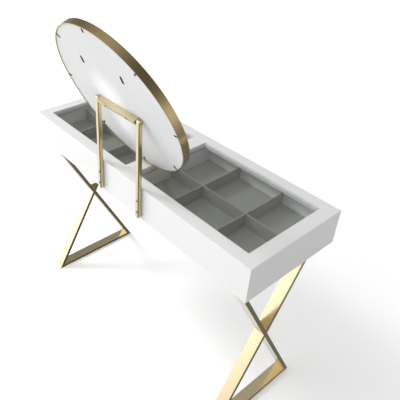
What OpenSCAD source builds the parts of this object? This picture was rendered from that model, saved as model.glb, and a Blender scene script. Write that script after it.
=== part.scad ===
// Dressing table with two glass-topped drawers, crossed brass legs and a round tilting mirror.
// Millimetres. +Z is up, +Y points to the back, where the mirror posts stand, and the user
// sits on the -Y side. The origin is on the floor, midway between the foremost foot and the
// rearmost point of the mirror.

/* [Case] */
// Width of the case, end to end
table_w = 1100; // [1000:10:1300]
// Depth of the case, front to back
table_d = 396; // [380:2:440]
// Height of the table top above the floor
table_h = 790; // [700:5:850]
// Height of the case, from its underside to its top face
case_h = 121; // [115:1:140]
// Thickness of the case boards
board_t = 16; // [14:1:18]

/* [Glass tops] */
// Plain border of the top board at each end
end_border = 43; // [40:1:60]
// Plain border of the top board along the front and the back
long_border = 41; // [38:1:50]
// Width of the plain strip between the two panes
middle_strip = 56; // [50:1:80]
// Thickness of the glass, let in flush with the top board
glass_t = 4; // [3:0.5:6]
// Width of the ledge that a pane rests on
ledge_w = 4; // [3:0.5:8]

/* [Drawers] */
// Height of the drawer sides
drawer_side_h = 74; // [65:1:78]
// Thickness of the drawer sides and back
drawer_side_t = 10; // [8:1:12]
// Depth of the drawer floor below the table top
floor_drop = 79; // [74:1:84]
// Height of the dividers above the drawer floor
divider_h = 46; // [30:1:50]
// Thickness of the dividers
divider_t = 4; // [3:0.5:6]
// Distance between the two cross dividers of a drawer
divider_pitch = 183; // [150:1:200]
// How far a drawer pulls out
drawer_travel = 280; // [200:10:300]

/* [Legs] */
// Distance from the end of the case to a leg frame
leg_inset = 38; // [30:1:80]
// Width of the flat leg bars
leg_bar_w = 40; // [30:1:50]
// Thickness of the flat leg bars
leg_bar_t = 14; // [8:1:16]
// Distance from the middle of a leg frame to the tip of its foot rail
foot_reach = 207; // [190:1:230]
// Distance from the middle of a leg frame to the top end of a bar
top_reach = 181; // [150:1:185]

/* [Mirror stand] */
// Distance between the outer faces of the two posts
post_span = 222; // [200:2:260]
// Side of the square post tube
post_w = 15; // [14:1:20]
// Height of the tilt axis above the table top
pivot_rise = 231; // [228:1:260]
// Depth of the crossbar, square to the mirror
crossbar_d = 20; // [18:1:24]
// Height of the crossbar, along the mirror
crossbar_h = 13; // [12:1:16]

/* [Mirror] */
// Radius of the mirror over its brass ring
mirror_r = 272; // [260:1:274]
// Depth of the brass ring
ring_depth = 25.5; // [23:0.5:28]
// Lean of the mirror from the upright, in degrees
mirror_lean = 24.7; // [24:0.1:40]

/* [Hidden] */
$fn = 96;

LEFT = -1;
RIGHT = 1;
OUTER = 1;
INNER = -1;

// Colours
lacquer = "white";
lining = "dimgray";
brass = "darkkhaki";
steel = "silver";
clear_glass = "lightcyan";
black_steel = "black";

// Case
half_w = table_w / 2;
half_d = table_d / 2;
case_z = table_h - case_h;
finger_space = 14;
setback = 2;

// Glass tops
pane_x0 = middle_strip / 2;
pane_x1 = half_w - end_border;
pane_y1 = half_d - long_border;

// Drawers: everything is set out from the inner faces of the partition and the end boards
front_gap = 2;
meeting_gap = 1.5;
runner_t = 12.7;
drawer_top_z = table_h - board_t - 7;
floor_z = table_h - floor_drop;
base_t = 6;
front_y1 = -half_d + board_t;
back_gap = 10;
drawer_y1 = half_d - board_t - back_gap;
box_x0 = board_t / 2 + runner_t;
box_x1 = half_w - board_t - runner_t;
well_x0 = box_x0 + drawer_side_t;
well_x1 = box_x1 - drawer_side_t;
well_y1 = drawer_y1 - drawer_side_t;
well_mid_x = (well_x0 + well_x1) / 2;
cross_divider_xs = [for (i = [-0.5, 0.5]) well_mid_x + i * divider_pitch];
lap_clearance = 0.2;

// Runners: three nested steel channels, drawn from the case wall towards the drawer
runner_overlap = 40;
runner_len = drawer_travel + runner_overlap;
runner_y0 = front_y1 + setback;
runner_z = drawer_top_z - drawer_side_h / 2;
case_runner_h = 45;
middle_runner_h = 40.4;
drawer_runner_h = 33;
runner_gauge = 1.2;

// Legs
glide_t = 2;
glide_r = 9;
glide_inset = 16;
top_plate_t = 4;
leg_x = half_w - leg_inset - leg_bar_w / 2;
leg_top_z = case_z - top_plate_t;
leg_rise = leg_top_z - glide_t;
leg_angle = atan2(leg_rise, foot_reach + top_reach);
bar_run = leg_bar_t / sin(leg_angle);
leg_lean = (foot_reach + top_reach - bar_run) / leg_rise;
crossing_z = glide_t + (foot_reach - bar_run / 2) / leg_lean;
leg_screw_ys = [-120, -40, 40, 120];
leg_screw_r = 2.5;
leg_screw_head_r = 4.5;
leg_screw_head_t = 2.5;
leg_screw_bite = 12;

// Posts and tilt axis
post_x = post_span / 2 - post_w / 2;
post_y = half_d + post_w / 2;
post_foot_z = case_z + 11;
post_wall = 1.5;
post_corner_r = 3;
pivot_z = table_h + pivot_rise;
post_plug = 14;
post_screw_zs = [table_h - 88, table_h - 44];
post_screw_r = 2.5;
post_screw_head_r = 4;
post_screw_head_t = 2;
post_screw_bite = 12;
foot_slot_w = 2;
foot_slot_h = 14;
pivot_r = 3;
pivot_head_r = 7;
pivot_head_t = 3;
pivot_bite = 16;
socket_r = 2.9;
socket_depth = 2;
running_clearance = 0.05;
washer_t = 2.3;
washer_r = 6;
crossbar_gap = 2.5;
crossbar_half = post_span / 2 - post_w - crossbar_gap;

// Mirror, in its own frame: origin on the tilt axis, +Z up along the glass, +Y out of its back
ring_back_y = -6;
ring_centre_z = 23.5;
ring_wall = 3.5;
bezel_lip = 7;
bezel_t = 2;
back_recess = 2.6;
back_panel_t = 3.4;
mirror_glass_t = 5;
disc_gap = 0.3;
disc_r = mirror_r - ring_wall - disc_gap;
back_panel_y = ring_back_y - back_recess;
core_t = ring_depth - bezel_t - mirror_glass_t - back_panel_t - back_recess;
bar_screw_x = 52;
bar_screw_r = 2;
bar_screw_head_r = 4;
bar_screw_head_t = 1.5;
bar_screw_bite = 8;
clip_count = 8;
clip_l = 17;
clip_w = 6;
clip_t = 2;
clip_orbit = disc_r - disc_gap - clip_l / 2;
hanger_x = 96;
hanger_rise = 127;
hanger_l = 27;
hanger_w = 8;
hanger_t = 2;

// The origin lies midway between the foot rail's front tip and the mirror's rearmost point
mirror_rear_y = post_y + ring_back_y * cos(mirror_lean)
              + (ring_centre_z + mirror_r) * sin(mirror_lean);
origin_y = (foot_reach - mirror_rear_y) / 2;

// ---------------------------------------------------------------- placing

module placed() {
    translate([0, origin_y, 0]) children();
}

// A block given by its lowest and its highest corner
module block(low, high) {
    translate(low) cube(high - low);
}

// Draws its children for the left or the right half of the table
module on_side(side) {
    if (side == RIGHT) children();
    else mirror([1, 0, 0]) children();
}

module both_sides() {
    for (side = [LEFT, RIGHT]) on_side(side) children();
}

// A round rod along X, Y or Z from a start point
module rod_x(start, len, r) {
    translate(start) rotate([0, 90, 0]) cylinder(h = len, r = r);
}

module rod_y(start, len, r) {
    translate(start) rotate([-90, 0, 0]) cylinder(h = len, r = r);
}

// ---------------------------------------------------------------- case

// Outlines whose sloping ends make the 45 degree mitres between the boards
module top_outline_xz() {
    polygon([
        [-half_w, table_h], [half_w, table_h],
        [half_w - board_t, table_h - board_t], [-half_w + board_t, table_h - board_t]
    ]);
}

module top_outline_yz() {
    polygon([
        [-half_d, table_h], [half_d, table_h],
        [half_d - board_t, table_h - board_t], [-half_d, table_h - board_t]
    ]);
}

module back_outline_yz() {
    polygon([
        [half_d, case_z], [half_d, table_h],
        [half_d - board_t, table_h - board_t], [half_d - board_t, case_z]
    ]);
}

module back_outline_xy() {
    polygon([
        [-half_w, half_d], [half_w, half_d],
        [half_w - board_t, half_d - board_t], [-half_w + board_t, half_d - board_t]
    ]);
}

module end_outline_xz() {
    polygon([
        [half_w, case_z], [half_w, table_h],
        [half_w - board_t, table_h - board_t], [half_w - board_t, case_z]
    ]);
}

module end_outline_xy() {
    polygon([
        [half_w, -half_d], [half_w, half_d],
        [half_w - board_t, half_d - board_t], [half_w - board_t, -half_d]
    ]);
}

// Prisms that run the whole length of the case along Y, X and Z
module along_y() {
    translate([0, table_d, 0]) rotate([90, 0, 0]) linear_extrude(2 * table_d) children();
}

module along_x() {
    rotate([90, 0, 90]) translate([0, 0, -table_w]) linear_extrude(2 * table_w) children();
}

module along_z() {
    linear_extrude(2 * table_h) children();
}

// The rebate that takes one pane, and the opening below it
module window_cut() {
    block([pane_x0, -pane_y1, table_h - glass_t], [pane_x1, pane_y1, table_h + 1]);
    block(
        [pane_x0 + ledge_w, -pane_y1 + ledge_w, table_h - board_t - 1],
        [pane_x1 - ledge_w, pane_y1 - ledge_w, table_h]
    );
}

module top_board() {
    color(lacquer) placed() difference() {
        intersection() {
            along_y() top_outline_xz();
            along_x() top_outline_yz();
        }
        both_sides() window_cut();
    }
}

module bottom_board() {
    color(lacquer) placed() difference() {
        block(
            [-half_w + board_t, front_y1 + finger_space, case_z],
            [half_w - board_t, half_d - board_t, case_z + board_t]
        );
        both_sides() for (y = leg_screw_ys)
            translate([leg_x, y, case_z - 1]) cylinder(h = leg_screw_bite + 1, r = leg_screw_r);
    }
}

module back_panel() {
    color(lacquer) placed() difference() {
        intersection() {
            along_x() back_outline_yz();
            along_z() back_outline_xy();
        }
        both_sides() for (z = post_screw_zs)
            rod_y([post_x, half_d - post_screw_bite, z], post_screw_bite + 1, post_screw_r);
    }
}

module end_board(side) {
    color(lacquer) placed() on_side(side) intersection() {
        along_y() end_outline_xz();
        along_z() end_outline_xy();
    }
}

module centre_partition() {
    color(lacquer) placed() block(
        [-board_t / 2, front_y1 + finger_space, case_z + board_t],
        [board_t / 2, half_d - board_t, table_h - board_t]
    );
}

module pane(side) {
    color(clear_glass) placed() on_side(side) block(
        [pane_x0 + lap_clearance, -pane_y1 + lap_clearance, table_h - glass_t],
        [pane_x1 - lap_clearance, pane_y1 - lap_clearance, table_h]
    );
}

// ---------------------------------------------------------------- legs

// A flat bar that leans across the whole leg frame, from one foot to the opposite top
module leaning_bar(lean_sign) {
    z0 = glide_t + leg_bar_t;
    y0 = -foot_reach + leg_bar_t * leg_lean;
    y1 = top_reach - bar_run;
    mirror([0, lean_sign < 0 ? 1 : 0, 0])
        translate([leg_x - leg_bar_w / 2, 0, 0]) rotate([90, 0, 90]) linear_extrude(leg_bar_w)
            polygon([[y0, z0], [y0 + bar_run, z0], [top_reach, leg_top_z], [y1, leg_top_z]]);
}

module leg_long_bar(side) {
    color(brass) placed() on_side(side) leaning_bar(1);
}

// The second diagonal is cut where the long bar passes and welded to it from both sides
module leg_short_bar(side, z0, z1) {
    color(brass) placed() on_side(side) intersection() {
        difference() {
            leaning_bar(-1);
            leaning_bar(1);
        }
        block([0, -table_d, z0], [table_w, table_d, z1]);
    }
}

module leg_foot_rail(side) {
    z0 = glide_t;
    z1 = glide_t + leg_bar_t;
    tip = foot_reach - leg_bar_t * leg_lean;
    color(brass) placed() on_side(side)
        translate([leg_x - leg_bar_w / 2, 0, 0]) rotate([90, 0, 90]) linear_extrude(leg_bar_w)
            polygon([[-foot_reach, z0], [foot_reach, z0], [tip, z1], [-tip, z1]]);
}

module leg_top_plate(side) {
    color(brass) placed() on_side(side) difference() {
        block(
            [leg_x - leg_bar_w / 2, -top_reach, leg_top_z],
            [leg_x + leg_bar_w / 2, top_reach, case_z]
        );
        for (y = leg_screw_ys)
            translate([leg_x, y, leg_top_z - 1]) cylinder(h = top_plate_t + 2, r = leg_screw_r);
    }
}

module leg_glides() {
    color(black_steel) placed() both_sides() for (y = [-1, 1] * (foot_reach - glide_inset))
        translate([leg_x, y, 0]) cylinder(h = glide_t, r = glide_r);
}

module leg_screws() {
    color(steel) placed() both_sides() for (y = leg_screw_ys) {
        translate([leg_x, y, leg_top_z - leg_screw_head_t])
            cylinder(h = leg_screw_head_t, r = leg_screw_head_r);
        translate([leg_x, y, leg_top_z - leg_screw_head_t])
            cylinder(h = leg_screw_head_t + top_plate_t + leg_screw_bite, r = leg_screw_r);
    }
}

// ---------------------------------------------------------------- mirror stand

module rounded_square(w, r) {
    square([w, w - 2 * r], center = true);
    square([w - 2 * r, w], center = true);
    for (x = [-1, 1] * (w / 2 - r), y = [-1, 1] * (w / 2 - r))
        translate([x, y]) circle(r = r);
}

// A square tube, plugged and rounded over at the tilt axis, slotted at its open foot
module post(side) {
    color(brass) placed() translate([side * post_x, post_y, 0]) difference() {
        intersection() {
            translate([0, 0, post_foot_z])
                linear_extrude(pivot_z + post_w / 2 - post_foot_z)
                    rounded_square(post_w, post_corner_r);
            union() {
                block([-post_w, -post_w / 2, post_foot_z], [post_w, post_w / 2, pivot_z]);
                rod_x([-post_w, 0, pivot_z], 2 * post_w, post_w / 2);
            }
        }
        translate([0, 0, post_foot_z - 1]) linear_extrude(pivot_z - post_plug - post_foot_z + 1)
            rounded_square(post_w - 2 * post_wall, post_corner_r - post_wall);
        for (z = post_screw_zs)
            rod_y([0, -post_w, z], 2 * post_w, post_screw_r);
        rod_x([-post_w, 0, pivot_z], 2 * post_w, pivot_r + running_clearance);
        block(
            [-post_w, post_w / 2 - post_corner_r - foot_slot_w, post_foot_z - 1],
            [0, post_w / 2 - post_corner_r, post_foot_z + foot_slot_h]
        );
    }
}

module post_screws() {
    color(steel) placed() both_sides() for (z = post_screw_zs) {
        rod_y([post_x, half_d + post_w, z], post_screw_head_t, post_screw_head_r);
        rod_y(
            [post_x, half_d - post_screw_bite, z],
            post_screw_bite + post_w + post_screw_head_t, post_screw_r
        );
    }
}

module pivot_screws() {
    head_x = post_span / 2;
    color(brass) placed() both_sides() difference() {
        union() {
            rod_x([head_x, post_y, pivot_z], pivot_head_t, pivot_head_r);
            rod_x(
                [crossbar_half - pivot_bite, post_y, pivot_z],
                head_x + pivot_head_t - crossbar_half + pivot_bite, pivot_r
            );
        }
        translate([head_x + pivot_head_t - socket_depth, post_y, pivot_z]) rotate([0, 90, 0])
            cylinder(h = socket_depth + 1, r = socket_r, $fn = 6);
    }
}

module pivot_washers() {
    color(black_steel) placed() both_sides() difference() {
        rod_x([post_span / 2 - post_w - washer_t, post_y, pivot_z], washer_t, washer_r);
        rod_x(
            [crossbar_half - 1, post_y, pivot_z], washer_t + crossbar_gap,
            pivot_r + running_clearance
        );
    }
}

// ---------------------------------------------------------------- mirror

// Places children drawn in the mirror's own frame
module leaned() {
    translate([0, post_y, pivot_z]) rotate([-mirror_lean, 0, 0]) children();
}

// Turns a shape drawn on its back, with +Z towards the viewer of the glass, into that frame
module facing_front() {
    translate([0, ring_back_y, ring_centre_z]) rotate([90, 0, 0]) children();
}

module disc(z0, t) {
    translate([0, 0, z0]) cylinder(h = t, r = disc_r, $fn = 180);
}

module bar_screw_holes() {
    for (x = [-1, 1] * bar_screw_x)
        rod_y([x, back_panel_y - back_panel_t - bar_screw_bite, 0], 60, bar_screw_r);
}

module crossbar() {
    color(brass) placed() leaned() difference() {
        block(
            [-crossbar_half, back_panel_y, -crossbar_h / 2],
            [crossbar_half, back_panel_y + crossbar_d, crossbar_h / 2]
        );
        bar_screw_holes();
        both_sides()
            rod_x([crossbar_half - pivot_bite - 1, 0, 0], pivot_bite + 2,
                pivot_r + running_clearance);
    }
}

module crossbar_screws() {
    start_y = back_panel_y - back_panel_t - bar_screw_bite;
    head_y = back_panel_y + crossbar_d;
    color(steel) placed() leaned() for (x = [-1, 1] * bar_screw_x) {
        rod_y([x, head_y, 0], bar_screw_head_t, bar_screw_head_r);
        rod_y([x, start_y, 0], head_y + bar_screw_head_t - start_y, bar_screw_r);
    }
}

module mirror_ring() {
    inner_r = mirror_r - ring_wall;
    lip_r = mirror_r - bezel_lip;
    color(brass) placed() leaned() facing_front() rotate_extrude($fn = 180) polygon([
        [inner_r, 0], [mirror_r, 0], [mirror_r, ring_depth], [lip_r, ring_depth],
        [lip_r, ring_depth - bezel_t], [inner_r, ring_depth - bezel_t]
    ]);
}

module mirror_glass() {
    color(clear_glass) placed() leaned() facing_front()
        disc(ring_depth - bezel_t - mirror_glass_t, mirror_glass_t);
}

module mirror_core() {
    color("tan") placed() leaned() difference() {
        facing_front() disc(back_recess + back_panel_t, core_t);
        bar_screw_holes();
    }
}

module mirror_back_panel() {
    color(lacquer) placed() leaned() difference() {
        facing_front() disc(back_recess, back_panel_t);
        bar_screw_holes();
    }
}

module rim_clips() {
    color(black_steel) placed() leaned() translate([0, back_panel_y, ring_centre_z])
        for (i = [0 : clip_count - 1])
            rotate([0, i * 360 / clip_count, 0]) translate([0, 0, clip_orbit])
                block([-clip_w / 2, 0, -clip_l / 2], [clip_w / 2, clip_t, clip_l / 2]);
}

module hanger_plates() {
    straight = hanger_l - hanger_w;
    slot_r = hanger_w / 4;
    color(black_steel) placed() leaned() both_sides()
        translate([hanger_x, back_panel_y, ring_centre_z + hanger_rise]) difference() {
            union() {
                block([-hanger_w / 2, 0, -straight / 2], [hanger_w / 2, hanger_t, straight / 2]);
                for (z = [-1, 1] * straight / 2) rod_y([0, 0, z], hanger_t, hanger_w / 2);
            }
            block([-slot_r, -1, -straight / 2], [slot_r, hanger_t + 1, straight / 2]);
        }
}

// ---------------------------------------------------------------- drawers

module drawer_front(side) {
    grip = board_t * 0.6;
    z0 = case_z;
    z1 = table_h - board_t - front_gap;
    color(lacquer) placed() on_side(side)
        translate([meeting_gap, 0, 0]) rotate([90, 0, 90])
            linear_extrude(half_w - board_t - front_gap - meeting_gap)
                polygon([
                    [-half_d, z0], [front_y1 - grip, z0], [front_y1, z0 + grip],
                    [front_y1, z1], [-half_d, z1]
                ]);
}

module drawer_side(side, wall) {
    x0 = wall == INNER ? box_x0 : well_x1;
    color(lacquer) placed() on_side(side) block(
        [x0, front_y1, drawer_top_z - drawer_side_h],
        [x0 + drawer_side_t, drawer_y1, drawer_top_z]
    );
}

module drawer_back(side) {
    color(lacquer) placed() on_side(side) block(
        [well_x0, well_y1, drawer_top_z - drawer_side_h], [well_x1, drawer_y1, drawer_top_z]
    );
}

module drawer_base(side) {
    color(lining) placed() on_side(side)
        block([well_x0, front_y1, floor_z - base_t], [well_x1, well_y1, floor_z]);
}

// The long divider is slotted from above and the cross dividers from below
module long_divider(side) {
    slot = divider_t / 2 + lap_clearance;
    color(lining) placed() on_side(side) difference() {
        block(
            [well_x0, -divider_t / 2, floor_z], [well_x1, divider_t / 2, floor_z + divider_h]
        );
        for (x = cross_divider_xs)
            block(
                [x - slot, -divider_t, floor_z + divider_h / 2],
                [x + slot, divider_t, floor_z + divider_h + 1]
            );
    }
}

module cross_dividers(side) {
    slot = divider_t / 2 + lap_clearance;
    half_t = divider_t / 2;
    color(lining) placed() on_side(side) for (x = cross_divider_xs)
        difference() {
            block(
                [x - half_t, front_y1, floor_z], [x + half_t, well_y1, floor_z + divider_h]
            );
            block(
                [x - divider_t, -slot, floor_z - 1], [x + divider_t, slot, floor_z + divider_h / 2]
            );
        }
}

// A channel along Y: a web at x0, flanges reaching to x1, open on the far side
module channel(x0, x1, h) {
    web = x1 > x0 ? runner_gauge : -runner_gauge;
    low_x = min(x0, x1);
    high_x = max(x0, x1);
    y1 = runner_y0 + runner_len;
    block(
        [min(x0, x0 + web), runner_y0, runner_z - h / 2],
        [max(x0, x0 + web), y1, runner_z + h / 2]
    );
    for (z = [runner_z - h / 2, runner_z + h / 2 - runner_gauge])
        block([low_x, runner_y0, z], [high_x, y1, z + runner_gauge]);
}

// Runs from the case wall at depth 0 to the drawer side at depth runner_t
module runner_member(side, wall, depth0, depth1, h) {
    wall_x = wall == INNER ? board_t / 2 : half_w - board_t;
    out = wall == INNER ? 1 : -1;
    color(steel) placed() on_side(side)
        channel(wall_x + out * depth0, wall_x + out * depth1, h);
}

module case_runner(side, wall) {
    runner_member(side, wall, 0, 9.5, case_runner_h);
}

module middle_runner(side, wall) {
    runner_member(side, wall, 1.9, 11, middle_runner_h);
}

module drawer_runner(side, wall) {
    runner_member(side, wall, runner_t, 4, drawer_runner_h);
}

// ---------------------------------------------------------------- assembly

top_board();
bottom_board();
back_panel();
end_board(LEFT);  // left_side
end_board(RIGHT);  // right_side
centre_partition();
pane(LEFT);  // left_glass
pane(RIGHT);  // right_glass

leg_long_bar(LEFT);  // left_leg_long_bar
leg_short_bar(LEFT, crossing_z, table_h);  // left_leg_upper_bar
leg_short_bar(LEFT, 0, crossing_z);  // left_leg_lower_bar
leg_foot_rail(LEFT);  // left_leg_foot_rail
leg_top_plate(LEFT);  // left_leg_top_plate
leg_long_bar(RIGHT);  // right_leg_long_bar
leg_short_bar(RIGHT, crossing_z, table_h);  // right_leg_upper_bar
leg_short_bar(RIGHT, 0, crossing_z);  // right_leg_lower_bar
leg_foot_rail(RIGHT);  // right_leg_foot_rail
leg_top_plate(RIGHT);  // right_leg_top_plate
leg_glides();
leg_screws();

post(LEFT);  // left_post
post(RIGHT);  // right_post
post_screws();
pivot_screws();
pivot_washers();

crossbar();
crossbar_screws();
mirror_ring();
mirror_glass();
mirror_core();
mirror_back_panel();
rim_clips();
hanger_plates();

drawer_front(LEFT);  // left_drawer_front
drawer_side(LEFT, INNER);  // left_drawer_inner_side
drawer_side(LEFT, OUTER);  // left_drawer_outer_side
drawer_back(LEFT);  // left_drawer_back
drawer_base(LEFT);  // left_drawer_base
long_divider(LEFT);  // left_drawer_long_divider
cross_dividers(LEFT);  // left_drawer_cross_dividers
drawer_runner(LEFT, INNER);  // left_drawer_inner_runner
drawer_runner(LEFT, OUTER);  // left_drawer_outer_runner
middle_runner(LEFT, INNER);  // left_middle_inner_runner
middle_runner(LEFT, OUTER);  // left_middle_outer_runner
case_runner(LEFT, INNER);  // left_case_inner_runner
case_runner(LEFT, OUTER);  // left_case_outer_runner

drawer_front(RIGHT);  // right_drawer_front
drawer_side(RIGHT, INNER);  // right_drawer_inner_side
drawer_side(RIGHT, OUTER);  // right_drawer_outer_side
drawer_back(RIGHT);  // right_drawer_back
drawer_base(RIGHT);  // right_drawer_base
long_divider(RIGHT);  // right_drawer_long_divider
cross_dividers(RIGHT);  // right_drawer_cross_dividers
drawer_runner(RIGHT, INNER);  // right_drawer_inner_runner
drawer_runner(RIGHT, OUTER);  // right_drawer_outer_runner
middle_runner(RIGHT, INNER);  // right_middle_inner_runner
middle_runner(RIGHT, OUTER);  // right_middle_outer_runner
case_runner(RIGHT, INNER);  // right_case_inner_runner
case_runner(RIGHT, OUTER);  // right_case_outer_runner
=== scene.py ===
"""Looks of the vanity table: white lacquered case, brass legs and ring, glass tops, tilting mirror.

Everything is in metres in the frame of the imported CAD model. +Y is the back of the table, where the
mirror posts stand; the camera looks at that side from above.
"""

import math

import bmesh
import bpy
from mathutils import Matrix, Vector


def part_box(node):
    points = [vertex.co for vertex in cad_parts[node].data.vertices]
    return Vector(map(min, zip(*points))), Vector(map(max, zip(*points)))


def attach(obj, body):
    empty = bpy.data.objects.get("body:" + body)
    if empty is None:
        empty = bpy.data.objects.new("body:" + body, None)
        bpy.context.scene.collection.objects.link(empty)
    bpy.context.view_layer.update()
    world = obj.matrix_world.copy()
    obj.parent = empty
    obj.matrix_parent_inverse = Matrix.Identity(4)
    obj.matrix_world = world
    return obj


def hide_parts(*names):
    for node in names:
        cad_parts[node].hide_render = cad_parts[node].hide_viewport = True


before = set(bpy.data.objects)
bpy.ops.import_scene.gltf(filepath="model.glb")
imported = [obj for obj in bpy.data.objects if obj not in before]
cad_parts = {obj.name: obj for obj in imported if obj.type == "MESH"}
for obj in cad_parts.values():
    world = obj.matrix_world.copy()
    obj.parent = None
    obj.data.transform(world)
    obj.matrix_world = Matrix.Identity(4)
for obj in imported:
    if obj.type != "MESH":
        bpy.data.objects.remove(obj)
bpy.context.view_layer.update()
MM = 0.001
EDGE = 0.6 * MM
SCENE = bpy.context.scene

# ------------------------------------------------------------------ node helpers


class Nodes:
    """Builds one material's node tree."""

    def __init__(self, name):
        self.mat = bpy.data.materials.new(name)
        self.mat.use_nodes = True
        self.tree = self.mat.node_tree
        self.tree.nodes.clear()
        self.out = self.add("ShaderNodeOutputMaterial")

    def add(self, kind, **values):
        node = self.tree.nodes.new(kind)
        for key, value in values.items():
            setattr(node, key, value)
        return node

    def link(self, a, b):
        self.tree.links.new(a, b)

    def principled(self, **sockets):
        """A Principled shader with those sockets set; an underscore stands for a space."""
        node = self.add("ShaderNodeBsdfPrincipled")
        for key, value in sockets.items():
            node.inputs[key.replace("_", " ")].default_value = value
        return node

    def coords(self, scale=(1, 1, 1), source="Object"):
        """The object's own coordinates, or its UVs, times scale."""
        where = self.add("ShaderNodeTexCoord")
        mapping = self.add("ShaderNodeMapping")
        mapping.inputs["Scale"].default_value = scale
        self.link(where.outputs[source], mapping.inputs["Vector"])
        return mapping.outputs["Vector"]

    def noise(self, vector, scale, detail=3.0, rough=0.5):
        node = self.add("ShaderNodeTexNoise")
        node.inputs["Scale"].default_value = scale
        node.inputs["Detail"].default_value = detail
        node.inputs["Roughness"].default_value = rough
        self.link(vector, node.inputs["Vector"])
        return node.outputs["Fac"]

    def ramp(self, fac, low, high, start=0.3, end=0.7):
        """Maps fac from start..end to the two colours low..high."""
        node = self.add("ShaderNodeValToRGB")
        node.color_ramp.elements[0].position = start
        node.color_ramp.elements[0].color = (*low, 1)
        node.color_ramp.elements[1].position = end
        node.color_ramp.elements[1].color = (*high, 1)
        self.link(fac, node.inputs["Fac"])
        return node.outputs["Color"]

    def spread(self, fac, low, high, start=0.3, end=0.7):
        """Maps fac from start..end to the numbers low..high."""
        node = self.add("ShaderNodeMapRange")
        for key, value in (("From Min", start), ("From Max", end), ("To Min", low), ("To Max", high)):
            node.inputs[key].default_value = value
        self.link(fac, node.inputs["Value"])
        return node.outputs["Result"]

    def bump(self, height, shader, strength, distance):
        node = self.add("ShaderNodeBump")
        node.inputs["Strength"].default_value = strength
        node.inputs["Distance"].default_value = distance
        self.link(height, node.inputs["Height"])
        self.link(node.outputs["Normal"], shader.inputs["Normal"])

    def done(self, shader):
        self.link(shader.outputs[0], self.out.inputs["Surface"])
        return self.mat


# ------------------------------------------------------------------ materials


def lacquer(name, low, high, gloss, **sockets):
    """Sprayed lacquer of roughness gloss: faint cloudiness and slightly uneven gloss."""
    nodes = Nodes(name)
    shader = nodes.principled(**sockets)
    where = nodes.coords()
    nodes.link(nodes.ramp(nodes.noise(where, 7, 4), low, high), shader.inputs["Base Color"])
    uneven = nodes.spread(nodes.noise(where, 3, 2), gloss - 0.01, gloss + 0.01)
    nodes.link(uneven, shader.inputs["Roughness"])
    return nodes.done(shader)


def brushed(name, low, high, stretch, turned=False):
    """Brushed and lacquered metal: fine streaks along the direction in which stretch is small.

    On a turned part they run round it: they change along the second UV axis, which is the
    length along the part's outline.
    """
    nodes = Nodes(name)
    shader = nodes.principled(Metallic=1.0, Coat_Weight=0.5, Coat_Roughness=0.15)
    where = nodes.coords(scale=stretch)
    if turned:
        outline = nodes.add("ShaderNodeSeparateXYZ")
        nodes.link(nodes.coords(scale=(0, 2500, 0), source="UV"), outline.inputs[0])
        both = nodes.add("ShaderNodeVectorMath", operation="ADD")
        nodes.link(where, both.inputs[0])
        nodes.link(outline.outputs["Y"], both.inputs[1])
        where = both.outputs[0]
    streaks = nodes.noise(where, 1, 5, 0.65)
    clouds = nodes.noise(nodes.coords(), 18, 3)
    nodes.link(nodes.ramp(streaks, low, high, 0.25, 0.75), shader.inputs["Base Color"])
    mixed = nodes.add("ShaderNodeMath", operation="MULTIPLY_ADD")
    nodes.link(clouds, mixed.inputs[0])
    mixed.inputs[1].default_value = 0.12
    nodes.link(nodes.spread(streaks, 0.1, 0.22), mixed.inputs[2])
    nodes.link(mixed.outputs[0], shader.inputs["Roughness"])
    nodes.bump(streaks, shader, strength=0.12, distance=0.0002)
    return nodes.done(shader)


def fine_grain(name, low, high, scale, rough, strength, **sockets):
    """A surface with a fine grain: lining, nylon, fibreboard, silvering, painted or plated steel."""
    nodes = Nodes(name)
    shader = nodes.principled(**sockets)
    where = nodes.coords()
    grain = nodes.noise(where, scale, 4, 0.6)
    nodes.link(nodes.ramp(grain, low, high), shader.inputs["Base Color"])
    uneven = nodes.spread(nodes.noise(where, 45, 3), rough - 0.05, rough + 0.06)
    nodes.link(uneven, shader.inputs["Roughness"])
    nodes.bump(grain, shader, strength=strength, distance=0.0003)
    return nodes.done(shader)


def clear_glass(name, tint):
    """A pane that light passes straight through, with a mirror share that grows at grazing angles."""
    head_on = 0.04
    nodes = Nodes(name)
    through = nodes.add("ShaderNodeBsdfTransparent")
    through.inputs["Color"].default_value = (*tint, 1)
    gloss = nodes.add("ShaderNodeBsdfGlossy")
    gloss.inputs["Color"].default_value = (1, 1, 1, 1)
    ripple = nodes.spread(nodes.noise(nodes.coords(), 30, 2), 0.01, 0.04)
    nodes.link(ripple, gloss.inputs["Roughness"])
    facing = nodes.add("ShaderNodeLayerWeight")
    facing.inputs["Blend"].default_value = 0.5
    steep = nodes.add("ShaderNodeMath", operation="POWER")
    nodes.link(facing.outputs["Facing"], steep.inputs[0])
    steep.inputs[1].default_value = 5
    share = nodes.add("ShaderNodeMath", operation="MULTIPLY_ADD")
    nodes.link(steep.outputs[0], share.inputs[0])
    share.inputs[1].default_value = 1 - head_on
    share.inputs[2].default_value = head_on
    mix = nodes.add("ShaderNodeMixShader")
    nodes.link(share.outputs[0], mix.inputs[0])
    nodes.link(through.outputs[0], mix.inputs[1])
    nodes.link(gloss.outputs[0], mix.inputs[2])
    return nodes.done(mix)


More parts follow.
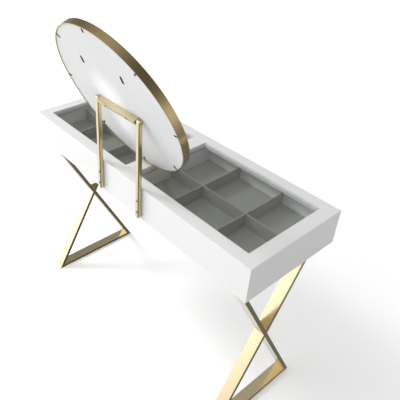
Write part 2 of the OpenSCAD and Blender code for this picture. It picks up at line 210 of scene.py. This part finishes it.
WHITE = lacquer(
    "white_lacquer", (0.825, 0.825, 0.82), (0.85, 0.85, 0.845), 0.3,
    Specular_IOR_Level=0.35, Coat_Weight=0.15, Coat_Roughness=0.12,
)
BACK_BOARD = lacquer(
    "white_back_board", (0.72, 0.725, 0.73), (0.75, 0.755, 0.76), 0.5, Specular_IOR_Level=0.2
)
BRASS_LOW = (0.62, 0.5, 0.28)
BRASS_HIGH = (0.78, 0.68, 0.45)
BRASS_X = brushed("brass_brushed_along_x", BRASS_LOW, BRASS_HIGH, (30, 2500, 2500))
BRASS_Y = brushed("brass_brushed_along_y", BRASS_LOW, BRASS_HIGH, (2500, 30, 2500))
BRASS_Z = brushed("brass_brushed_along_z", BRASS_LOW, BRASS_HIGH, (2500, 2500, 30))
# The ring is the same brass as the legs, but painted darker and deeper in colour: painted shade for
# its darker look.
RING_PAINTED_SHADE_LOW = (0.56, 0.43, 0.19)
RING_PAINTED_SHADE_HIGH = (0.7, 0.57, 0.3)
BRASS_ROUND_PAINTED_SHADE = brushed("brass_brushed_round", RING_PAINTED_SHADE_LOW, RING_PAINTED_SHADE_HIGH, (20, 20, 20), turned=True)
LINING = fine_grain(
    "grey_lining", (0.27, 0.264, 0.238), (0.32, 0.313, 0.284), 1500, 0.62, 0.25, Sheen_Weight=0.15
)
NYLON = fine_grain("black_nylon", (0.02, 0.02, 0.02), (0.035, 0.035, 0.035), 800, 0.45, 0.1)
BLACK = fine_grain(
    "black_steel", (0.006, 0.006, 0.006), (0.016, 0.016, 0.016), 1400, 0.6, 0.2,
    Specular_IOR_Level=0.2,
)
ZINC = fine_grain(
    "zinc_steel", (0.5, 0.5, 0.48), (0.66, 0.66, 0.64), 500, 0.3, 0.1, Metallic=1.0
)
RUNNER = fine_grain(
    "runner_steel", (0.48, 0.49, 0.5), (0.62, 0.63, 0.65), 260, 0.32, 0.08, Metallic=1.0
)
CORE = fine_grain("core_board", (0.42, 0.3, 0.18), (0.6, 0.46, 0.3), 700, 0.8, 0.3)
SILVER = fine_grain(
    "silvered_glass", (0.9, 0.91, 0.91), (0.93, 0.94, 0.94), 3, 0.06, 0.0, Metallic=1.0
)
GLASS = clear_glass("clear_glass", (0.97, 0.985, 0.98))
FLOOR_LOW = (0.93, 0.93, 0.93)
FLOOR_HIGH = (0.95, 0.95, 0.95)

# ------------------------------------------------------------------ mesh helpers


def from_cad(node):
    """The CAD node's own shape as clean, welded, flat faces."""
    bm = bmesh.new()
    bm.from_mesh(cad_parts[node].data)
    bmesh.ops.remove_doubles(bm, verts=bm.verts, dist=1e-5)
    bmesh.ops.dissolve_limit(bm, angle_limit=math.radians(0.6), verts=bm.verts, edges=bm.edges)
    return bm


def soften(bm, width, keep=lambda edge: True):
    """Rounds every sharp edge that keep accepts."""
    sharp = [
        e for e in bm.edges
        if len(e.link_faces) == 2 and e.calc_face_angle(0) > math.radians(30) and keep(e)
    ]
    bmesh.ops.bevel(
        bm, geom=sharp, offset=width, segments=2, profile=0.5, affect="EDGES", clamp_overlap=True
    )


def new_object(name, bm):
    """Puts bm into the scene as an object, with its faces turned outward."""
    bmesh.ops.recalc_face_normals(bm, faces=bm.faces)
    mesh = bpy.data.meshes.new(name)
    bm.to_mesh(mesh)
    bm.free()
    obj = bpy.data.objects.new(name, mesh)
    SCENE.collection.objects.link(obj)
    return obj


def piece(obj, body, node, material):
    """Shades obj, lets it ride on body and lets it stand for the CAD node."""
    mesh = obj.data
    for face in mesh.polygons:
        face.use_smooth = True
    mesh.set_sharp_from_angle(angle=math.radians(35))
    obj.modifiers.new("flat_faces", "WEIGHTED_NORMAL").keep_sharp = True
    mesh.materials.clear()
    mesh.materials.append(material)
    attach(obj, body)
    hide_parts(node)


def softened(node, body, material, width=EDGE):
    """The CAD node's shape with its edges rounded over."""
    bm = from_cad(node)
    soften(bm, width)
    piece(new_object(f"{node}_finished", bm), body, node, material)


def islands(node):
    """Lowest and highest corner of each separate solid in a CAD node."""
    bm = from_cad(node)
    left = set(bm.verts)
    boxes = []
    while left:
        found = [left.pop()]
        for vert in found:
            for edge in vert.link_edges:
                other = edge.other_vert(vert)
                if other in left:
                    left.remove(other)
                    found.append(other)
        points = [v.co.copy() for v in found]
        low = Vector([min(p[i] for p in points) for i in range(3)])
        high = Vector([max(p[i] for p in points) for i in range(3)])
        boxes.append((low, high))
    bm.free()
    return sorted(boxes, key=lambda pair: (round(pair[0].x, 4), round(pair[0].z, 4), pair[0].y))


def loft(bm, loops, matrix):
    """Skins a row of closed loops of equally many points; both ends are closed by a face."""
    rings = [[bm.verts.new(matrix @ Vector(p)) for p in loop] for loop in loops]
    count = len(rings[0])
    for low, high in zip(rings, rings[1:]):
        for i in range(count):
            j = (i + 1) % count
            bm.faces.new((low[i], low[j], high[j], high[i]))
    bm.faces.new(list(reversed(rings[0])))
    bm.faces.new(rings[-1])


def circle(radius, height, count=24):
    """A circle of count points at that height."""
    turn = 2 * math.pi / count
    return [(radius * math.cos(i * turn), radius * math.sin(i * turn), height) for i in range(count)]


def hexagon(radius, height, count=24):
    """A hexagon drawn with count points, one for each point of circle()."""
    points = []
    for i in range(count):
        angle = 2 * math.pi * i / count
        reach = radius * math.cos(math.pi / 6) / math.cos((angle % (math.pi / 3)) - math.pi / 6)
        points.append((reach * math.cos(angle), reach * math.sin(angle), height))
    return points


def socket_screw(bm, matrix, head_r, head_h, shank_r, shank_len):
    """A button head screw with a hexagon socket; +Z of matrix points out of its head."""
    loft(bm, [
        circle(shank_r * 0.6, -shank_len), circle(shank_r, -shank_len + shank_r * 0.5),
        circle(shank_r, 0), circle(head_r * 0.97, 0), circle(head_r, head_h * 0.08),
        circle(head_r, head_h * 0.4), circle(head_r * 0.93, head_h * 0.68),
        circle(head_r * 0.8, head_h * 0.9), circle(head_r * 0.64, head_h),
        hexagon(head_r * 0.52, head_h * 0.97), hexagon(head_r * 0.47, head_h * 0.15),
        hexagon(head_r * 0.1, head_h * 0.05),
    ], matrix)


def stadium(half_len, radius, y, lower=None, steps=8):
    """A slot outline along Z at depth y; lower is the radius of its lower end."""
    points = []
    for i in range(steps + 1):
        angle = math.pi * i / steps
        points.append((radius * math.cos(angle), y, half_len + radius * math.sin(angle)))
    lower = lower or radius
    for i in range(steps + 1):
        angle = math.pi * (1 + i / steps)
        points.append((lower * math.cos(angle), y, -half_len + lower * math.sin(angle)))
    return list(reversed(points))


def along(axis):
    """A turn that takes +Z to that axis."""
    return Vector(axis).to_track_quat("Z", "Y").to_matrix().to_4x4()


def rounded(outline, radius, steps=3):
    """Rounds the corners of a closed outline of (x, y) points."""
    points = []
    count = len(outline)
    for i, corner in enumerate(outline):
        here = Vector(corner)
        before = (Vector(outline[i - 1]) - here).normalized() * radius
        after = (Vector(outline[(i + 1) % count]) - here).normalized() * radius
        for k in range(steps + 1):
            t = k / steps
            points.append(here + before * (1 - t) ** 2 + after * t ** 2)
    return points


# ------------------------------------------------------------------ case

# The case's outer box: as deep and high as an end board, and symmetrical in X.
case_low, case_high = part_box("left_side")
case_high = Vector((-case_low.x, case_high.y, case_high.z))


def outer_planes(point):
    """How many of the case's outer faces a point lies on."""
    return sum(abs(point[i] - side[i]) < 1e-5 for side in (case_low, case_high) for i in range(3))


def inner_edge(edge):
    """True for a straight edge inside the case's outline: its round-over is the board's own."""
    a, b = (v.co for v in edge.verts)
    straight = sum(abs(a[i] - b[i]) < 1e-5 for i in range(3)) == 2
    return straight and outer_planes((a + b) / 2) == 1


def rounded_case():
    """The case's outer box, rounded over, that all its boards are trimmed to."""
    bm = bmesh.new()
    bmesh.ops.create_cube(bm, size=1)
    size = case_high - case_low
    bmesh.ops.scale(bm, vec=size, verts=bm.verts)
    bmesh.ops.translate(bm, vec=(case_low + case_high) / 2, verts=bm.verts)
    bmesh.ops.bevel(
        bm, geom=bm.edges[:], offset=2 * EDGE, segments=3, profile=0.5, affect="EDGES"
    )
    return new_object("case_trim", bm)


def case_board(node, trim):
    """A board of the case: its inner edges rounded, its outside trimmed to the rounded case."""
    bm = from_cad(node)
    soften(bm, EDGE, keep=inner_edge)
    obj = new_object(f"{node}_finished", bm)
    cut = obj.modifiers.new("trim", "BOOLEAN")
    cut.operation = "INTERSECT"
    cut.solver = "EXACT"
    cut.object = trim
    shape = obj.evaluated_get(bpy.context.evaluated_depsgraph_get())
    mesh = bpy.data.meshes.new_from_object(shape)
    obj.modifiers.clear()
    obj.data = mesh
    piece(obj, "table", node, WHITE)


trim = rounded_case()
for name in ("top_board", "back_panel", "left_side", "right_side"):
    case_board(name, trim)
bpy.data.objects.remove(trim)
softened("bottom_board", "table", WHITE)
softened("centre_partition", "table", WHITE)
softened("left_glass", "table", GLASS, 0.5 * MM)
softened("right_glass", "table", GLASS, 0.5 * MM)

# ------------------------------------------------------------------ drawers

for side in ("left", "right"):
    body = f"{side}_drawer"
    for part in ("front", "inner_side", "outer_side", "back"):
        softened(f"{body}_{part}", body, WHITE)
    for part in ("base", "long_divider", "cross_dividers"):
        softened(f"{body}_{part}", body, LINING, 0.5 * MM)
    for part in ("inner_runner", "outer_runner"):
        softened(f"{body}_{part}", body, RUNNER, 0.2 * MM)
        softened(f"{side}_middle_{part}", f"{side}_slide", RUNNER, 0.2 * MM)
        softened(f"{side}_case_{part}", "table", RUNNER, 0.2 * MM)

# ------------------------------------------------------------------ legs

for side in ("left", "right"):
    for part, material in (
        ("long_bar", BRASS_Z), ("upper_bar", BRASS_Z), ("lower_bar", BRASS_Z),
        ("foot_rail", BRASS_Y), ("top_plate", BRASS_Y),
    ):
        softened(f"{side}_leg_{part}", "table", material, 0.8 * MM)
softened("leg_glides", "table", NYLON, 0.5 * MM)


def screws(node, body, material, axis, head_r, head_h, shank_r, length):
    """Button head screws in the place of a node's solids.

    The axis points out of their heads. One along X is for the +X side, and the -X side mirrors it.
    """
    bm = bmesh.new()
    way = Vector(axis)
    for low, high in islands(node):
        turned = way if way.x == 0 or low.x > 0 else Vector((-way.x, way.y, way.z))
        seat = (low + high) / 2 + turned * (length / 2 - head_h)
        socket_screw(
            bm, Matrix.Translation(seat) @ along(turned), head_r, head_h, shank_r, length - head_h
        )
    piece(new_object(f"{node}_socket_heads", bm), body, node, material)


screws(
    "leg_screws", "table", ZINC, (0, 0, -1),
    head_r=4.5 * MM, head_h=2.5 * MM, shank_r=2.5 * MM, length=18.5 * MM,
)

# ------------------------------------------------------------------ mirror stand

for side in ("left", "right"):
    softened(f"{side}_post", "table", BRASS_Z, 0.4 * MM)
screws(
    "post_screws", "table", ZINC, (0, 1, 0),
    head_r=4 * MM, head_h=2 * MM, shank_r=2.5 * MM, length=29 * MM,
)
screws(
    "pivot_screws", "table", BRASS_X, (1, 0, 0),
    head_r=7 * MM, head_h=3 * MM, shank_r=3 * MM, length=36.5 * MM,
)
softened("pivot_washers", "table", NYLON, 0.3 * MM)

# ------------------------------------------------------------------ mirror

# The mirror's own frame lies on its tilt axis: X along the axis, Y out of its back, Z up along it.
LEAN = math.radians(24.7)
RING_BACK = -6 * MM
PANEL_BACK = -8.6 * MM
RING_CENTRE = 23.5 * MM
RING_R = 272 * MM
RING_DEPTH = 25.5 * MM
pivot_low, pivot_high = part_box("pivot_screws")
tilt_axis = (pivot_low + pivot_high) / 2
mirror_frame = Matrix.Translation(tilt_axis) @ Matrix.Rotation(-LEAN, 4, "X")
out_of_back = mirror_frame.to_3x3() @ Vector((0, 1, 0))


def mirror_ring():
    """The brass ring, turned in one piece with soft corners and a thin lip over the glass."""
    wall, lip, lip_thick = 3.5 * MM, 7 * MM, 2 * MM
    outline = rounded([
        (RING_R - wall, 0), (RING_R, 0), (RING_R, RING_DEPTH), (RING_R - lip, RING_DEPTH),
        (RING_R - lip, RING_DEPTH - lip_thick), (RING_R - wall, RING_DEPTH - lip_thick),
    ], 0.7 * MM)
    lengths = [0.0]
    for a, b in zip(outline, outline[1:] + outline[:1]):
        lengths.append(lengths[-1] + (b - a).length)
    matrix = mirror_frame @ Matrix.Translation((0, RING_BACK, RING_CENTRE))
    matrix = matrix @ Matrix.Rotation(math.radians(90), 4, "X")
    steps = 256
    bm = bmesh.new()
    uv = bm.loops.layers.uv.new("around")
    rows = []
    for i in range(steps):
        angle = 2 * math.pi * i / steps
        rows.append([
            bm.verts.new(matrix @ Vector((p.x * math.cos(angle), p.x * math.sin(angle), p.y)))
            for p in outline
        ])
    count = len(outline)
    for i in range(steps):
        here, there = rows[i], rows[(i + 1) % steps]
        for k in range(count):
            m = (k + 1) % count
            face = bm.faces.new((here[k], there[k], there[m], here[m]))
            corners = ((i, k), (i + 1, k), (i + 1, k + 1), (i, k + 1))
            for loop, (u, v) in zip(face.loops, corners):
                loop[uv].uv = (u / steps, lengths[v])
    obj = new_object("mirror_ring_turned", bm)
    # The ring's brass carries painted shade: darker than the legs' brass.
    piece(obj, "mirror", "mirror_ring", BRASS_ROUND_PAINTED_SHADE)


def rim_clips():
    """Flat black clips, rounded at both ends, with a stiffening rib along the middle."""
    bm = bmesh.new()
    half, radius, thick = 5.5 * MM, 3 * MM, 2 * MM
    centre = mirror_frame @ Vector((0, PANEL_BACK, RING_CENTRE))
    flat = mirror_frame.to_3x3().inverted()
    for low, high in islands("rim_clips"):
        away = flat @ ((low + high) / 2 - centre)
        turn = Matrix.Rotation(math.atan2(away.x, away.z), 4, "Y")
        place = mirror_frame @ Matrix.Translation((away.x, PANEL_BACK, RING_CENTRE + away.z)) @ turn
        loft(bm, [
            stadium(half, radius, 0), stadium(half, radius, thick * 0.35),
            stadium(half, radius * 0.85, thick * 0.5),
            stadium(half * 0.85, radius * 0.45, thick * 0.55),
            stadium(half * 0.8, radius * 0.35, thick * 0.95),
            stadium(half * 0.75, radius * 0.2, thick),
        ], place)
    piece(new_object("rim_clips_pressed", bm), "mirror", "rim_clips", BLACK)


def hanger_plates():
    """Two keyhole plates, each with a rivet at both ends."""
    bm = bmesh.new()
    half, radius, thick = 9.5 * MM, 4 * MM, 2 * MM
    for low, high in islands("hanger_plates"):
        centre = mirror_frame.inverted() @ ((low + high) / 2)
        place = mirror_frame @ Matrix.Translation((centre.x, PANEL_BACK, centre.z))
        outer = [stadium(half, radius, y) for y in (0, thick * 0.3, thick * 0.5)]
        outer.append(stadium(half, radius * 0.94, thick * 0.6))
        inner = [
            stadium(half * 0.5, radius * 0.3, y, lower=radius * 0.55)
            for y in (thick * 0.6, thick * 0.1)
        ]
        inner.append(stadium(half * 0.3, radius * 0.1, thick * 0.1))
        loft(bm, outer + inner, place)
        for z in (-half, half):
            rivet = place @ Matrix.Translation((0, thick * 0.5, z)) @ along((0, 1, 0))
            loft(bm, [
                circle(radius * 0.5, 0), circle(radius * 0.5, thick * 0.2),
                circle(radius * 0.4, thick * 0.4), circle(radius * 0.2, thick * 0.5),
            ], rivet)
    piece(new_object("hanger_plates_keyhole", bm), "mirror", "hanger_plates", BLACK)


mirror_ring()
rim_clips()
hanger_plates()
softened("crossbar", "mirror", BRASS_X)
screws(
    "crossbar_screws", "mirror", ZINC, out_of_back,
    head_r=4 * MM, head_h=1.5 * MM, shank_r=2 * MM, length=32.9 * MM,
)
softened("mirror_glass", "mirror", SILVER)
softened("mirror_core", "mirror", CORE, 0.4 * MM)
softened("mirror_back_panel", "mirror", BACK_BOARD)

# ------------------------------------------------------------------ floor, light and camera


def floor():
    """A pale floor that fades to white away from the table; no metal mirrors it."""
    mesh = bpy.data.meshes.new("floor")
    far = 14
    corners = [(-far, -far, 0), (far, -far, 0), (far, far, 0), (-far, far, 0)]
    mesh.from_pydata(corners, [], [(0, 1, 2, 3)])
    obj = bpy.data.objects.new("floor", mesh)
    SCENE.collection.objects.link(obj)
    nodes = Nodes("pale_floor")
    shader = nodes.principled(Roughness=0.9, Specular_IOR_Level=0.2, Emission_Color=(1, 1, 1, 1))
    clouds = nodes.noise(nodes.coords(), 2, 2)
    nodes.link(nodes.ramp(clouds, FLOOR_LOW, FLOOR_HIGH), shader.inputs["Base Color"])
    away = nodes.add("ShaderNodeVectorMath", operation="LENGTH")
    nodes.link(nodes.coords(), away.inputs[0])
    glowing = nodes.spread(away.outputs["Value"], 0.31, 0.7, 0.8, 4)
    nodes.link(glowing, shader.inputs["Emission Strength"])
    mesh.materials.append(nodes.done(shader))
    obj.visible_glossy = False


def lamp(data, power, target, towards, distance):
    """Puts a lamp in the direction towards, seen from target, and aims it at target."""
    data.energy = power
    obj = bpy.data.objects.new(data.name, data)
    way = Vector(towards).normalized()
    obj.location = target + way * distance
    obj.rotation_mode = "QUATERNION"
    obj.rotation_quaternion = way.to_track_quat("Z", "Y")
    SCENE.collection.objects.link(obj)
    return obj


def soft_box(name, towards, distance, size, power):
    """A square soft box aimed at the table; no metal mirrors it."""
    data = bpy.data.lights.new(name, "AREA")
    data.size = size
    lamp(data, power, Vector((0, 0, 0.8)), towards, distance).visible_glossy = False


def glow():
    """A soft-edged oval of light on the mirror's back panel, just above the crossbar."""
    low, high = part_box("crossbar")
    target = (low + high) / 2 + mirror_frame.to_3x3() @ Vector((0.032, 0, 0.004))
    distance = 1.4
    half_height = 0.027
    data = bpy.data.lights.new("panel_glow", "SPOT")
    data.spot_size = 2 * math.atan(half_height / distance)
    data.spot_blend = 1
    data.shadow_soft_size = 0.06
    lamp(data, 230, target, (0, 0.8, 0.6), distance).scale = (2.6, 1, 1)


# Bright parts of the room: direction, narrowness, strength.
BRIGHT_PARTS = (
    ((0.57, 0.74, 0.17), 4, 1.05),  # the wall behind, towards +X
    ((0.45, 0.85, 0.22), 16, 1.1),  # a brighter stretch of that wall
    ((0.7, 0.3, -0.5), 4, 1.05),  # the ground at the +X end
    ((0.4, -0.3, -0.87), 16, 0.6),  # the ground under the table
    ((-0.9, -0.42, -0.05), 20, 0.6),  # beyond the -X end, towards the front
    ((-1, 0, 0.1), 3, 0.13),  # the whole of that end
    ((0.1, -1, 0.1), 3, 1.3),  # the wall in front
    ((0.2, 0.05, 0.97), 6, 0.4),  # the ceiling
    ((0.72, 0.69, 0.15), 60, 1.2),  # a narrow window behind
)


def surroundings():
    """A dim room with soft bright parts, which the metal mirrors; the camera sees it plain white."""
    world = bpy.data.worlds.new("studio")
    SCENE.world = world
    world.use_nodes = True
    tree = world.node_tree

    def math_node(operation, a, b):
        node = tree.nodes.new("ShaderNodeMath")
        node.operation = operation
        for socket, value in zip(node.inputs, (a, b)):
            if isinstance(value, (int, float)):
                socket.default_value = value
            else:
                tree.links.new(value, socket)
        return node.outputs[0]

    where = tree.nodes.new("ShaderNodeTexCoord").outputs["Generated"]
    total = 0.06
    for direction, narrowness, strength in BRIGHT_PARTS:
        towards = tree.nodes.new("ShaderNodeVectorMath")
        towards.operation = "DOT_PRODUCT"
        tree.links.new(where, towards.inputs[0])
        towards.inputs[1].default_value = Vector(direction).normalized()
        facing = math_node("MAXIMUM", towards.outputs["Value"], 0)
        lobe = math_node("POWER", facing, narrowness)
        total = math_node("ADD", math_node("MULTIPLY", lobe, strength), total)
    seen = tree.nodes.new("ShaderNodeLightPath").outputs["Is Camera Ray"]
    rest = math_node("MULTIPLY", math_node("SUBTRACT", 1, seen), total)
    background = tree.nodes["Background"]
    background.inputs["Color"].default_value = (1, 1, 1, 1)
    tree.links.new(math_node("ADD", seen, rest), background.inputs["Strength"])


def camera():
    data = bpy.data.cameras.new("camera")
    data.lens = 44.69
    data.sensor_width = 36
    data.shift_x = 0.1518
    data.shift_y = -0.1075
    obj = bpy.data.objects.new("camera", data)
    turn = Matrix.Rotation(math.radians(-128.66), 4, "Z")
    tilt = Matrix.Rotation(math.radians(90 - 32.01), 4, "X")
    roll = Matrix.Rotation(math.radians(0.73), 4, "Z")
    obj.matrix_world = Matrix.Translation((-1.079, 0.9265, 1.6854)) @ turn @ tilt @ roll
    SCENE.collection.objects.link(obj)
    SCENE.camera = obj


floor()
soft_box("key", (0.726, 0.307, 0.615), 3.6, 0.8, 62)
soft_box("overhead", (-0.1, 0.35, 1), 1.8, 1.5, 9.5)
glow()
surroundings()
camera()
SCENE.view_settings.view_transform = "Standard"
